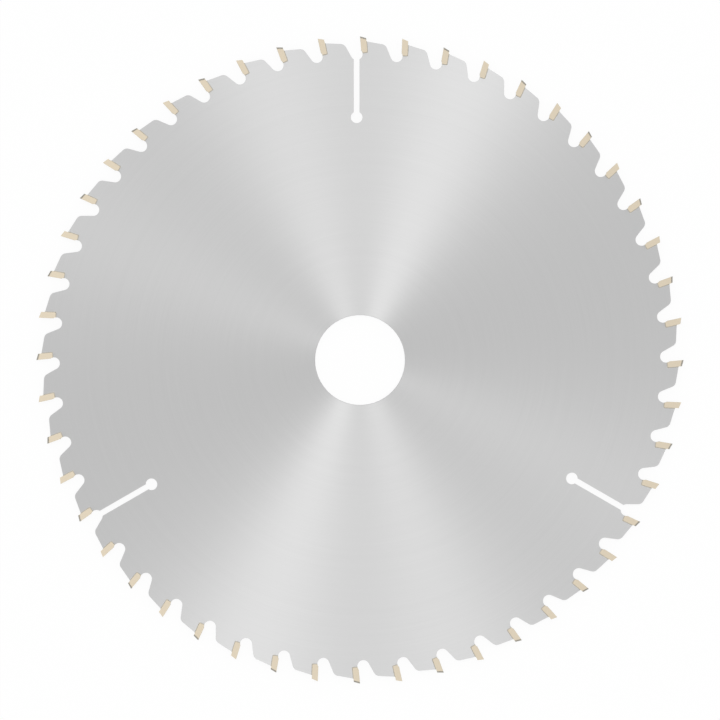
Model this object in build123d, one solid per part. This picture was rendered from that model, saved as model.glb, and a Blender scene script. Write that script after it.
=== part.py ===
from build123d import *
from math import cos, radians, sin, sqrt
import os

# A carbide-tipped circular saw blade of 216 mm for a mitre saw, in millimetres and degrees.
# The blade's axis is Z, and the origin is the bore's centre at half the plate's thickness.
# Seen from +Z the blade turns counter-clockwise, and the first tooth points along +Y.

# Whole blade
tip_circle_diameter = 216.0
kerf_width = 2.6
plate_thickness = 1.6
tooth_count = 48
bore_diameter = 30.0
bore_edge_break = 0.1

# Carbide tip. The hook leans its face forward, the relief drops its top behind the cutting edge,
# and the bevel slopes that edge across the kerf, to one side on every other tip.
hook_angle = 5.0
relief_angle = 15.0
bevel_angle = 15.0
radial_side_clearance = 1.5
tangential_side_clearance = 2.5
tip_thickness = 2.0
tip_length = 5.6
tip_seat_chamfer = 0.3

# Seat in the plate, and the braze that fills it behind and below the tip
braze_gap = 0.1
seat_corner_radius = 0.2
shoulder_step = 1.25

# Tooth body and gullet. The gullet's round is centred a little below the seat's floor, and bites
# past the line of the tip's face by the undercut, which also relieves the tip's inner end.
back_angle = 10.0
heel_radius = 2.0
flank_angle = 22.0
gullet_radius = 2.0
gullet_drop = 0.14
gullet_undercut = 0.36

# Expansion slots, each from the bottom of a gullet to a round hole nearer the bore
slot_count = 3
slot_width = 1.9
slot_length = 19.1
slot_hole_diameter = 3.9

# The first tooth's own frame has Y out along the radius through its cutting corner, and X
# backwards, away from the cut. All of the tooth is placed from that corner and these directions.
tip_radius = tip_circle_diameter / 2
tooth_pitch = 360 / tooth_count
cutting_corner = Vector(0, tip_radius)
down_face = Vector(sin(radians(hook_angle)), -cos(radians(hook_angle)))
into_tip = Vector(cos(radians(hook_angle)), sin(radians(hook_angle)))
along_relief = Vector(cos(radians(relief_angle)), -sin(radians(relief_angle)))
along_back = Vector(cos(radians(back_angle)), -sin(radians(back_angle)))
down_flank = Vector(sin(radians(flank_angle)), -cos(radians(flank_angle)))


def from_corner(back, down):
    """The point this far behind the tip's face and this far down along it from the corner."""
    return cutting_corner + into_tip * back + down_face * down


def meet(point_a, along_a, point_b, along_b):
    """The point where two lines in the tooth's plane cross."""
    across_b = Vector(-along_b.Y, along_b.X)
    travel = (point_b - point_a).dot(across_b) / along_a.dot(across_b)
    return point_a + along_a * travel


def at_tooth(number):
    """The turn that carries the first tooth's frame to the tooth of this number."""
    return Rot(0, 0, -tooth_pitch * number)


def gullet_centre():
    """Centre of the round ahead of the tooth."""
    return from_corner(gullet_undercut - gullet_radius, tip_length + braze_gap + gullet_drop)


def shoulder_at_tip():
    """The point on the tip's back face that the line of the plate's back runs into."""
    tip_back = from_corner(tip_thickness, 0)
    top_corner = meet(tip_back, down_face, cutting_corner, along_relief)
    return top_corner + down_face * shoulder_step


def seat_points():
    """The front end of the seat's floor at the gullet, its inner corner, and its wall's top."""
    corner = from_corner(tip_thickness + braze_gap, tip_length + braze_gap)
    half_chord = sqrt(gullet_radius**2 - gullet_drop**2)
    floor_front = gullet_centre() - down_face * gullet_drop + into_tip * half_chord
    wall_top = meet(corner, down_face, shoulder_at_tip(), along_back)
    return floor_front, corner, wall_top


def tooth_outline():
    """The plate's edge over one tooth: the round of the gullet ahead of it, the seat, the back,
    the rounded heel and the flank, which runs tangent into the next gullet."""
    floor_front, seat_corner, wall_top = seat_points()
    centre = gullet_centre()
    next_centre = centre.rotate(Axis.Z, -tooth_pitch)
    flank_foot = next_centre + Vector(down_flank.Y, -down_flank.X) * gullet_radius
    heel = meet(wall_top, along_back, flank_foot, down_flank)
    gullet_start = flank_foot.rotate(Axis.Z, tooth_pitch)
    gullet_bottom = centre - centre.normalized() * gullet_radius
    gullet = ThreePointArc(gullet_start, gullet_bottom, floor_front)
    corner_radii = (seat_corner_radius, 0, heel_radius)
    body = FilletPolyline(floor_front, seat_corner, wall_top, heel, flank_foot, radius=corner_radii)
    return gullet + body


def expansion_slot():
    """One slot in the first tooth's frame, in line with the middle of its gullet."""
    gullet = gullet_centre()
    hole_centre = gullet - Vector(0, gullet_radius + slot_length)
    cut = Rectangle(slot_width, gullet_radius + slot_length, align=(Align.CENTER, Align.MIN))
    return Pos(hole_centre) * (cut + Circle(slot_hole_diameter / 2))


def make_saw_plate():
    """The laser-cut plate, ground flat on both sides, with the two edges of its bore broken."""
    tooth = tooth_outline()
    outline = [edge for number in range(tooth_count) for edge in (at_tooth(number) * tooth).edges()]
    profile = make_face(outline) - Circle(bore_diameter / 2)
    for slot in range(slot_count):
        profile -= at_tooth(slot * tooth_count // slot_count) * expansion_slot()
    plate = extrude(profile, amount=plate_thickness / 2, both=True)
    rims = plate.edges().filter_by(GeomType.CIRCLE)
    bore_rims = rims.filter_by(lambda rim: rim.is_closed and rim.arc_center.length < plate_thickness)
    return chamfer(bore_rims, bore_edge_break)


def tip_profile():
    """A tip from the side before its top is ground, its inner end cut by the gullet's round."""
    block = Polygon(
        from_corner(0, 0),
        from_corner(0, tip_length),
        from_corner(tip_thickness - tip_seat_chamfer, tip_length),
        from_corner(tip_thickness, tip_length - tip_seat_chamfer),
        from_corner(tip_thickness, 0),
        align=None,
    )
    return block - Pos(gullet_centre()) * Circle(gullet_radius)


def lean(direction, towards, angle):
    """The direction, turned by an angle towards another one square to it."""
    return direction * cos(radians(angle)) + towards * sin(radians(angle))


def grind(tip, point, along_a, along_b, inside):
    """Grinds a flat through the point along both directions, and keeps the side given."""
    normal = along_a.cross(along_b)
    flat = Plane(origin=point, x_dir=along_a, z_dir=normal)
    keep = Keep.TOP if normal.dot(inside) > 0 else Keep.BOTTOM
    return split(tip, flat, keep=keep)


def make_tip(high_side):
    """A tip in the first tooth's frame. Both sides narrow inwards and backwards from the cutting
    edge, and the top is highest at the side given: 1 for +Z or -1 for -Z."""
    tip = extrude(tip_profile(), amount=kerf_width / 2, both=True)
    for side in (1, -1):
        inside = Vector(0, 0, -side)
        side_corner = cutting_corner - inside * (kerf_width / 2)
        radial = lean(down_face, inside, radial_side_clearance)
        tangential = lean(into_tip, inside, tangential_side_clearance)
        tip = grind(tip, side_corner, radial, tangential, inside)
    to_low_side = Vector(0, 0, -high_side)
    high_corner = cutting_corner - to_low_side * (kerf_width / 2)
    cutting_edge = lean(to_low_side, down_face, bevel_angle)
    return grind(tip, high_corner, along_relief, cutting_edge, down_face)


def make_braze():
    """The braze of one tip in the first tooth's frame, as thick as the plate. It fills the seat
    behind and below the tip, and is cut off by the gullet's round and the plate's back."""
    floor_front, seat_corner, wall_top = seat_points()
    floor_ahead = from_corner(0, tip_length + braze_gap)
    pocket = Polygon(
        cutting_corner, floor_ahead, seat_corner, wall_top, shoulder_at_tip(), align=None
    )
    inner_corner = pocket.vertices().sort_by_distance(seat_corner)[0]
    pocket = fillet(inner_corner, seat_corner_radius)
    layer = pocket - tip_profile() - Pos(gullet_centre()) * Circle(gullet_radius)
    return extrude(layer, amount=plate_thickness / 2, both=True)


os.makedirs("parts", exist_ok=True)
export_step(make_saw_plate(), "parts/saw_plate.step")

# The tops of neighbouring tips slope to opposite sides, the first one down towards +Z.
two_tips = [make_tip(-1), make_tip(1)]
for number in range(tooth_count):
    tip = at_tooth(number) * two_tips[number % 2]
    export_step(tip, f"parts/carbide_tip_{number + 1:02d}.step")

braze = make_braze()
braze_joints = [at_tooth(number) * braze for number in range(tooth_count)]
export_step(Compound(braze_joints), "parts/braze_joints.step")
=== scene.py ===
from math import cos, radians, sin, sqrt, tan

import bpy
import numpy as np
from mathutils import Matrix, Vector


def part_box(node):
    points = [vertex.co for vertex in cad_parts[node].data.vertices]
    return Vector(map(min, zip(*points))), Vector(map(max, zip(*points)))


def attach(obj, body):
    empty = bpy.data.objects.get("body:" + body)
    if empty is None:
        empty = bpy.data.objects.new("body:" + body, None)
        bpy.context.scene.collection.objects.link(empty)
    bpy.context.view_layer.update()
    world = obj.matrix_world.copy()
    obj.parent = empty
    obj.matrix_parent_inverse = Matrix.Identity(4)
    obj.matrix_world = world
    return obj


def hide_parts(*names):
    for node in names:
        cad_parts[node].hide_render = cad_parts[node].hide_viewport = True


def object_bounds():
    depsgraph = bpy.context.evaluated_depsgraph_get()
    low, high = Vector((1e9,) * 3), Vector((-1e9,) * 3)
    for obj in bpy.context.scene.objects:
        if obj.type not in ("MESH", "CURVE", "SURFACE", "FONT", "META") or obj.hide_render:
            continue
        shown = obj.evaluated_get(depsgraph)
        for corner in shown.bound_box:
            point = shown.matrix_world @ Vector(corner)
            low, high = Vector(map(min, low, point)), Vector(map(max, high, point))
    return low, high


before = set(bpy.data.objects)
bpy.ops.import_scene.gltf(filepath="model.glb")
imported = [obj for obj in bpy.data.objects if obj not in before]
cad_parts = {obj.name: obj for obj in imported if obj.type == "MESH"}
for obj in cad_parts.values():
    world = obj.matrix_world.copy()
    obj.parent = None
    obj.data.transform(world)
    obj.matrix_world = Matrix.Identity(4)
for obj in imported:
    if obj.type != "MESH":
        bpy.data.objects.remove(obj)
cad_low, cad_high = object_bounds()

# The saw plate: one disc of hardened steel, cut out by laser and then ground on both sides while it
# turns, so that its finest scratches are circles about the bore. The cut edge keeps the laser's
# upright ripples and a darker skin, and only the bore is reamed bright.
mm = 0.001
bore_radius = 15 * mm
reamed_edge = 0.2 * mm
half_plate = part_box("saw_plate")[1].z
side_steepness = 0.8
steel_grey = (0.677, 0.677, 0.677)
cut_edge_grey = (0.30, 0.285, 0.27)
cut_edge_roughness = 0.42
scratch_roughness = 0.46
scratch_stretch = 1
scratch_arc = 0.5
scratch_spacing = 0.11 * mm
scratch_depth = 0.0006 * mm
scratch_contrast = 0.02
scratch_dullness = 0.01
ring_spacing = 2.5 * mm
ring_contrast = 0.01
ripple_spacing = 0.14 * mm
ripple_length = 2.5 * mm
ripple_depth = 0.02 * mm
ripple_contrast = 0.3
calm_noise = 0.3
wild_noise = 0.7


def add(material, kind, inputs=(), **settings):
    """Adds a shader node with these settings, its inputs fed by values or by other nodes' outputs."""
    node = material.node_tree.nodes.new("ShaderNode" + kind)
    for name, value in settings.items():
        setattr(node, name, value)
    for name, value in dict(inputs).items():
        if isinstance(value, bpy.types.NodeSocket):
            material.node_tree.links.new(value, node.inputs[name])
        else:
            node.inputs[name].default_value = value
    return node


def metal(name, inputs):
    """A material of bare metal, and its shader's inputs as given."""
    material = bpy.data.materials.new(name)
    material.use_nodes = True
    shader = material.node_tree.nodes["Principled BSDF"]
    shader.inputs["Metallic"].default_value = 1
    for name, value in inputs.items():
        shader.inputs[name].default_value = value
    return material


def feed(material, inputs):
    """Feeds inputs of the material's shader with other nodes' outputs."""
    shader = material.node_tree.nodes["Principled BSDF"]
    for name, output in inputs.items():
        material.node_tree.links.new(output, shader.inputs[name])


def number(material, operation, *terms):
    """A number worked out from these numbers."""
    return add(material, "Math", enumerate(terms), operation=operation).outputs[0]


def vector(material, operation, *terms):
    """A vector worked out from these vectors."""
    return add(material, "VectorMath", enumerate(terms), operation=operation).outputs[0]


def choose(material, mask, without, within, data_type="FLOAT"):
    """The first of two values where the mask is 0, and the second where it is 1."""
    inputs = {"Factor": mask, "A": without, "B": within}
    return add(material, "Mix", inputs, data_type=data_type).outputs["Result"]


def noise(material, place, size, detail=2, roughness=0.5):
    """A noise whose grains are about this size along each axis of the place."""
    inputs = {"Vector": vector(material, "DIVIDE", place, size), "Scale": 1}
    return add(material, "TexNoise", inputs | {"Detail": detail, "Roughness": roughness}).outputs[0]


def swing(material, value, middle, reach, calm=0, wild=1):
    """A number that follows a noise about its middle: the reach below it where the noise is calm,
    and as far above it where the noise is wild."""
    inputs = {"Value": value, "From Min": calm, "From Max": wild}
    inputs |= {"To Min": middle - reach, "To Max": middle + reach}
    return add(material, "MapRange", inputs).outputs[0]


def shaded(material, colour, share):
    """A colour made lighter or darker, as the share is above or below 1."""
    return add(material, "VectorMath", {0: colour, "Scale": share}, operation="SCALE").outputs[0]


def ground_steel():
    """The plate's metal. The side of a scratch faces along the radius, so light is spread that way;
    on the cut edge it is spread along the edge, across the upright ripples. Scratches are long arcs
    close together, over faint rings some millimetres wide."""
    steel = metal("ground_steel", {"Anisotropic": scratch_stretch})
    place = add(steel, "TexCoord").outputs["Object"]
    normal = add(steel, "TexCoord").outputs["Normal"]
    flat = vector(steel, "MULTIPLY", place, (1, 1, 0))
    radius = add(steel, "VectorMath", {0: flat}, operation="LENGTH").outputs["Value"]
    outwards = vector(steel, "NORMALIZE", flat)
    steepness = number(steel, "ABSOLUTE", add(steel, "SeparateXYZ", {0: normal}).outputs["Z"])
    on_side = number(steel, "GREATER_THAN", steepness, side_steepness)
    reamed = number(steel, "LESS_THAN", radius, bore_radius + reamed_edge)
    bright = number(steel, "MAXIMUM", on_side, reamed)

    around = vector(steel, "ADD", outwards, add(steel, "CombineXYZ", {"Z": radius}).outputs[0])
    scratch_size = (scratch_arc, scratch_arc, scratch_spacing)
    scratches = noise(steel, around, scratch_size, detail=3, roughness=0.6)
    ring_step = {"W": number(steel, "DIVIDE", radius, ring_spacing), "Scale": 1, "Detail": 2}
    rings = add(steel, "TexNoise", ring_step, noise_dimensions="1D").outputs[0]
    ripples = noise(steel, place, (ripple_spacing, ripple_spacing, ripple_length))

    grain = swing(steel, scratches, 1, scratch_contrast, calm_noise, wild_noise)
    band = swing(steel, rings, 1, ring_contrast)
    ground = shaded(steel, steel_grey, number(steel, "MULTIPLY", grain, band))
    cut = shaded(steel, cut_edge_grey, swing(steel, ripples, 1, ripple_contrast))
    dull = swing(steel, scratches, scratch_roughness, scratch_dullness)
    relief = choose(steel, bright, ripples, scratches)
    depth = choose(steel, bright, ripple_depth, scratch_depth)
    along_edge = vector(steel, "CROSS_PRODUCT", normal, (0, 0, 1))
    feed(steel, {
        "Base Color": choose(steel, bright, cut, ground, "VECTOR"),
        "Roughness": choose(steel, on_side, cut_edge_roughness, dull),
        "Normal": add(steel, "Bump", {"Height": relief, "Distance": depth}).outputs[0],
        "Tangent": choose(steel, on_side, along_edge, outwards, "VECTOR"),
    })
    return steel


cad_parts["saw_plate"].material_slots[0].material = ground_steel()

# The carbide tips: 48 small blocks of pressed and sintered tungsten carbide, each brazed into a seat
# in the plate and ground on its face, its two sides and its top. The sides are pale and matt, their
# beige tint painted warm light; the top, ground last and finest, is carbide grey made darker by painted
# shade. The tops slope to one side and the other in turn.
tooth_count = 48
tip_circle_radius = cad_high.x
half_kerf = cad_high.z
hook = radians(5)
top_relief = radians(15)
top_bevel = radians(15)
radial_clearance = radians(1.5)
tangential_clearance = radians(2.5)
tip_thickness = 2.0 * mm
tip_length = 5.6 * mm
seat_chamfer = 0.3 * mm
bite_points = 9
edge_hone = 0.015 * mm
groove_spacing = 0.07 * mm
groove_length = 1.2 * mm
mottle_size = 0.6 * mm
mottle_dullness = 0.06
# The sides' colour is carbide's own pale tone with painted warm light in its beige tint.
side_colour_painted_warm_light = (0.615, 0.544, 0.430)
# The top's colour is carbide grey, darker than the sides by painted shade.
top_colour_painted_shade = (0.516, 0.494, 0.450)
braze_gap = 0.1 * mm
gullet_radius = 2.0 * mm
gullet_behind_face = 0.36 * mm - gullet_radius
gullet_below_seat = 0.14 * mm
gullet_down = tip_length + braze_gap + gullet_below_seat


def on_tooth(tooth, behind, down, z):
    """Points of a tooth as an array. They are given by how far they lie behind the tip's face and
    down along it from the cutting corner, in a frame that leans forward by the hook from the radius
    and is turned to this tooth, clockwise from straight up as seen from above."""
    across = behind * cos(hook) + down * sin(hook)
    out = tip_circle_radius + behind * sin(hook) - down * cos(hook)
    turn = -2 * np.pi * tooth / tooth_count
    return np.stack([across * cos(turn) - out * sin(turn), across * sin(turn) + out * cos(turn), z], -1)


def gullet_arc(first, last, count):
    """Points of the gullet's round, from one depth down the tip's face to another."""
    down = np.linspace(first, last, count)
    return gullet_behind_face + np.sqrt(gullet_radius**2 - (down - gullet_down) ** 2), down


def tip_outline():
    """A tip seen from the side: down its face, round the gullet's bite at its inner end, along the
    seat's floor, over the chamfer and up its back. The first and last points are on its top."""
    bite_start = gullet_down - sqrt(gullet_radius**2 - gullet_behind_face**2)
    bite = gullet_arc(bite_start, tip_length, bite_points)
    behind = np.concatenate([[0], bite[0], [tip_thickness - seat_chamfer], [tip_thickness] * 2])
    down = np.concatenate([[0], bite[1], [tip_length], [tip_length - seat_chamfer], [0]])
    return behind, down


def half_width(behind, down):
    """Half of a tip's width: half the kerf at the cutting edge, less both side clearances."""
    return half_kerf - behind * tan(tangential_clearance) - down * tan(radial_clearance)


def tip_mesh(tooth):
    """A tip as its outline drawn on both sides and joined. On a side that is high or low by the bevel,
    the top lies as deep as the relief behind the face and the bevel across the kerf make it."""
    behind, down = tip_outline()
    high_side = -1 if tooth % 2 == 0 else 1
    sides = []
    for side in (-1, 1):
        same = side * high_side
        slope = tan(top_bevel)
        fall = behind * tan(top_relief + hook)
        fall = fall + (half_kerf - same * (half_kerf - behind * tan(tangential_clearance))) * slope
        top = fall / (1 - same * tan(radial_clearance) * slope)
        depth = np.where(np.isin(np.arange(len(down)), (0, len(down) - 1)), top, down)
        sides.append(np.stack([behind, depth, side * half_width(behind, depth)], -1))
    local = np.concatenate(sides)
    count = len(behind)
    here = np.arange(count)
    after = (here + 1) % count
    walls = np.stack([here, after, after + count, here + count], -1)
    faces = [list(here[::-1]), list(here + count)] + walls.tolist()
    mesh = bpy.data.meshes.new(f"tip_{tooth + 1:02d}")
    mesh.from_pydata(on_tooth(tooth, *local.T), [], faces)
    place = mesh.attributes.new("place_on_tip", "FLOAT_VECTOR", "POINT")
    place.data.foreach_set("vector", local.astype(np.float32).ravel())
    finish = np.ones(len(faces), np.int32)
    finish[:2] = 0
    mesh.polygons.foreach_set("material_index", finish)
    return mesh


def ground_carbide(name, colour, roughness, contrast, groove_depth):
    """Carbide ground in straight lines along the tip, close together, over a fine mottle of the
    sintered grain. The two added up make it lighter and darker."""
    carbide = metal(name, {"Specular Tint": (*colour, 1)})
    on_tip = add(carbide, "Attribute", attribute_name="place_on_tip").outputs["Vector"]
    body = add(carbide, "TexCoord").outputs["Object"]
    lines = noise(carbide, on_tip, (groove_spacing, groove_length, groove_spacing))
    mottle = noise(carbide, body, (mottle_size, mottle_size, mottle_size), detail=4)
    grain = number(carbide, "ADD", lines, mottle)
    shade = swing(carbide, grain, 1, contrast, 2 * calm_noise, 2 * wild_noise)
    feed(carbide, {
        "Base Color": shaded(carbide, colour, shade),
        "Roughness": swing(carbide, mottle, roughness, mottle_dullness),
        "Normal": add(carbide, "Bump", {"Height": lines, "Distance": groove_depth}).outputs[0],
    })
    return carbide


# The sides' material carries painted warm light in its beige colour.
side_painted_warm_light = ground_carbide("side_carbide_painted_warm_light", side_colour_painted_warm_light, roughness=0.55, contrast=0.05,
                             groove_depth=0.002 * mm)
# The top's material carries painted shade in its darker colour.
top_painted_shade = ground_carbide("top_carbide_painted_shade", top_colour_painted_shade, roughness=0.35, contrast=0.06,
                            groove_depth=0.001 * mm)

for tooth in range(tooth_count):
    mesh = tip_mesh(tooth)
    mesh.materials.append(side_painted_warm_light)
    mesh.materials.append(top_painted_shade)
    tip = bpy.data.objects.new(f"ground_tip_{tooth + 1:02d}", mesh)
    bpy.context.scene.collection.objects.link(tip)
    hone = tip.modifiers.new("honed_edges", "BEVEL")
    hone.width = edge_hone
    hone.segments = 2
    hone.limit_method = "ANGLE"
    hone.angle_limit = radians(25)
    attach(tip, "root")
    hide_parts(f"carbide_tip_{tooth + 1:02d}")

# The braze: silver solder that was melted between each tip and its seat. It fills the gap, and where
# the tip stands proud of the plate it has crept up the tip and out over the steel in a hollow fillet.
fillet_rise = 0.17 * mm
fillet_reach = 0.14 * mm
fillet_points = 7
fillet_waviness = 0.2
shortest_wave = 1.2 * mm
longest_wave = 4 * mm
waves_added = 3
wave_seed = 7
seat_points = 37
seat_corner_radius = 0.2 * mm
shoulder_step = 1.25 * mm
back_lean = radians(15)
lean_from_leg = 2.8
thinned_share = 0.03
solder_colour = (0.50, 0.475, 0.42)
solder_contrast = 0.12
solder_roughness = 0.6
solder_dullness = 0.1
solder_relief = 0.006 * mm
cloud_size = 0.4 * mm


def braze_line():
    """The line that the braze is drawn along, on the tip's outline: from the gullet along the floor,
    over the chamfer and up the tip's back to the plate's shoulder, where the solder thins out on a
    hollow quarter round. With each point come the way from it into the seat and the share of the
    braze's width that is left there."""
    turn = np.linspace(0, np.pi / 2, fillet_points)[1:]
    shoulder = tip_thickness * tan(top_relief + hook) + shoulder_step
    leg = np.linspace(0, 3, seat_points)
    legs = (0, 1, 2, 3)
    chamfer_start = tip_thickness - seat_chamfer
    gullet_end = gullet_behind_face + gullet_radius
    behind = np.interp(leg, legs, (gullet_end, chamfer_start, tip_thickness, tip_thickness))
    down = np.interp(leg, legs, (tip_length, tip_length, tip_length - seat_chamfer, shoulder))
    upright = np.pi / 2
    bearing = np.interp(leg, (1, 2, lean_from_leg, 3), (0, upright, upright, upright - back_lean))
    behind = np.append(behind, np.full_like(turn, tip_thickness))
    down = np.append(down, shoulder - fillet_rise * (1 - np.cos(turn)))
    bearing = np.append(bearing, np.full_like(turn, bearing[-1]))
    share = np.append(np.ones_like(leg), 1 - (1 - thinned_share) * np.sin(turn))
    return np.stack([behind, down], -1), np.stack([np.sin(bearing), np.cos(bearing)], -1), share


def seat_gap(point, away):
    """How far the seat lies from these points of the tip, this way: to its floor or its wall, and
    where the two meet to the round between them."""
    no_way = 1e-9
    corner = np.array([tip_thickness + braze_gap, tip_length + braze_gap])
    centre = corner - seat_corner_radius
    straight = ((corner - point) / np.maximum(away, no_way)).min(axis=1)
    in_corner = (point + away * straight[:, None] > centre).all(axis=1)
    offset = point - centre
    along = (offset * away).sum(axis=1)
    reach = along**2 - (offset**2).sum(axis=1) + seat_corner_radius**2
    return np.where(in_corner, np.sqrt(np.maximum(reach, 0)) - along, straight)


def braze_section(point, away, share, wave):
    """Sections across the braze as a grid, a row for each point along it. Each is a closed loop: the
    hollow quarter round from the tip to the plate on one side, through the gap, and back on the other."""
    turn = np.linspace(0, np.pi / 2, fillet_points)
    rise = fillet_rise * (1 + wave[0])[:, None]
    reach = fillet_reach * (1 + wave[1])[:, None]
    gap = seat_gap(point, away)[:, None]
    width = (gap + reach) * (1 - np.cos(turn))
    height = half_plate + rise * (1 - np.sin(turn))
    width = np.concatenate([width, gap, gap, width[:, ::-1]], axis=1) * share[:, None]
    step = np.full_like(gap, half_plate)
    height = np.concatenate([height, step, -step, -height[:, ::-1]], axis=1)
    flat = point[:, None] + away[:, None] * width[..., None]
    return flat[..., 0], flat[..., 1], height


def braze_mesh():
    """All the joints in one mesh. Each is a grid of sections along the seat, closed round each section
    and capped at both ends. Its rise and reach swell and shrink by a few slow waves, unlike on each."""
    draw = np.random.default_rng(wave_seed)
    point, away, share = braze_line()
    length = np.cumsum(np.linalg.norm(np.diff(point, axis=0, prepend=point[:1]), axis=1))
    points = []
    faces = []
    for tooth in range(tooth_count):
        pitch = draw.uniform(shortest_wave, longest_wave, (2, waves_added, 1))
        phase = draw.uniform(0, 2 * np.pi, (2, waves_added, 1))
        wave = fillet_waviness * np.sin(2 * np.pi * length / pitch + phase).mean(axis=1)
        behind, down, z = braze_section(point, away, share, wave)
        rows, columns = z.shape
        start = tooth * rows * columns
        points.append(on_tooth(tooth, behind, down, z).reshape(-1, 3))
        index = start + np.arange(rows * columns).reshape(rows, columns)
        onward = np.roll(index, -1, axis=1)
        quads = np.stack([index[:-1], onward[:-1], onward[1:], index[1:]], -1).reshape(-1, 4)
        faces += quads.tolist() + [index[0, ::-1].tolist(), index[-1].tolist()]
    mesh = bpy.data.meshes.new("braze_joints")
    mesh.from_pydata(np.concatenate(points), [], faces)
    return mesh


def silver_solder():
    """Solder: grey, a little yellow, dull where it set and clouded by the flux it was cleaned of."""
    solder = metal("silver_solder", {})
    body = add(solder, "TexCoord").outputs["Object"]
    clouds = noise(solder, body, (cloud_size, cloud_size, cloud_size), detail=3)
    feed(solder, {
        "Base Color": shaded(solder, solder_colour, swing(solder, clouds, 1, solder_contrast)),
        "Roughness": swing(solder, clouds, solder_roughness, solder_dullness),
        "Normal": add(solder, "Bump", {"Height": clouds, "Distance": solder_relief}).outputs[0],
    })
    return solder


joints = braze_mesh()
joints.materials.append(silver_solder())
joints.polygons.foreach_set("use_smooth", np.ones(len(joints.polygons), bool))
joints.set_sharp_from_angle(angle=radians(40))
braze = bpy.data.objects.new("solder_fillets", joints)
bpy.context.scene.collection.objects.link(braze)
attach(braze, "root")
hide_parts("braze_joints")

# The table: a plain white sheet that the blade lies on, resting on its tips. The camera sees it mostly
# as white, and for the rest as matt paint, which keeps the blade's soft shadow.
table_half_side = 12
table_paint = (0.95, 0.95, 0.95, 1)
white_share = 0.93


def rays_that_see(material):
    """1 for rays from the camera, or by way of a mirror or glass, and 0 for the rays that light things."""
    path = add(material, "LightPath").outputs
    direct = number(material, "MAXIMUM", path["Is Camera Ray"], path["Is Glossy Ray"])
    return number(material, "MAXIMUM", direct, path["Is Transmission Ray"])


table_mesh = bpy.data.meshes.new("table")
corners = np.array([(-1, -1, 0), (1, -1, 0), (1, 1, 0), (-1, 1, 0)]) * table_half_side
table_mesh.from_pydata(corners + np.array([0, 0, cad_low.z]), [], [(0, 1, 2, 3)])
table = bpy.data.objects.new("table", table_mesh)
bpy.context.scene.collection.objects.link(table)
paper = bpy.data.materials.new("white_paper")
paper.use_nodes = True
paper.node_tree.nodes.remove(paper.node_tree.nodes["Principled BSDF"])
share = number(paper, "MULTIPLY", rays_that_see(paper), white_share)
matt = add(paper, "BsdfDiffuse", {"Color": table_paint}).outputs[0]
white = add(paper, "Emission").outputs[0]
sheet = add(paper, "MixShader", {"Fac": share, 1: matt, 2: white}).outputs[0]
paper.node_tree.links.new(sheet, paper.node_tree.nodes["Material Output"].inputs["Surface"])
table_mesh.materials.append(paper)

# The light: an even white room, and three soft lamps high over it, which together light a flat white
# sheet in full. In scratches that run round the bore, each lamp shows as a pair of rays, towards
# itself and straight away from itself.
room_light = 0.86
lamp_tilt = radians(20)
lamp_softness = radians(6)

room = bpy.data.worlds.new("white_room")
room.use_nodes = True
room.cycles.sampling_method = "NONE"
level = add(room, "MapRange", {"Value": rays_that_see(room), "To Min": room_light, "To Max": 1})
background = room.node_tree.nodes["Background"]
background.inputs["Color"].default_value = (1, 1, 1, 1)
room.node_tree.links.new(level.outputs[0], background.inputs["Strength"])
bpy.context.scene.world = room


def soft_lamp(name, bearing, strength):
    """A lamp far off in this direction, in degrees counter-clockwise from X as seen from above."""
    light = bpy.data.lights.new(name, "SUN")
    light.energy = strength
    light.angle = lamp_softness
    lamp = bpy.data.objects.new(name, light)
    lamp.rotation_euler = (0, lamp_tilt, radians(bearing))
    bpy.context.scene.collection.objects.link(lamp)


soft_lamp("main_lamp", bearing=68.8, strength=0.212)
soft_lamp("second_lamp", bearing=108.1, strength=0.165)
soft_lamp("weak_lamp", bearing=154.7, strength=0.078)

# The camera: straight above the bore with a long lens, so that the tip circle takes as much of the
# picture's width as it does in the photograph, which shows no perspective.
tip_circle_share = 0.8996
camera = bpy.data.cameras.new("camera")
camera.lens = 300
picture_width = 2 * tip_circle_radius / tip_circle_share
eye = bpy.data.objects.new("camera", camera)
eye.location.z = picture_width * camera.lens / camera.sensor_width
bpy.context.scene.collection.objects.link(eye)
bpy.context.scene.camera = eye
bpy.context.scene.view_settings.view_transform = "Standard"
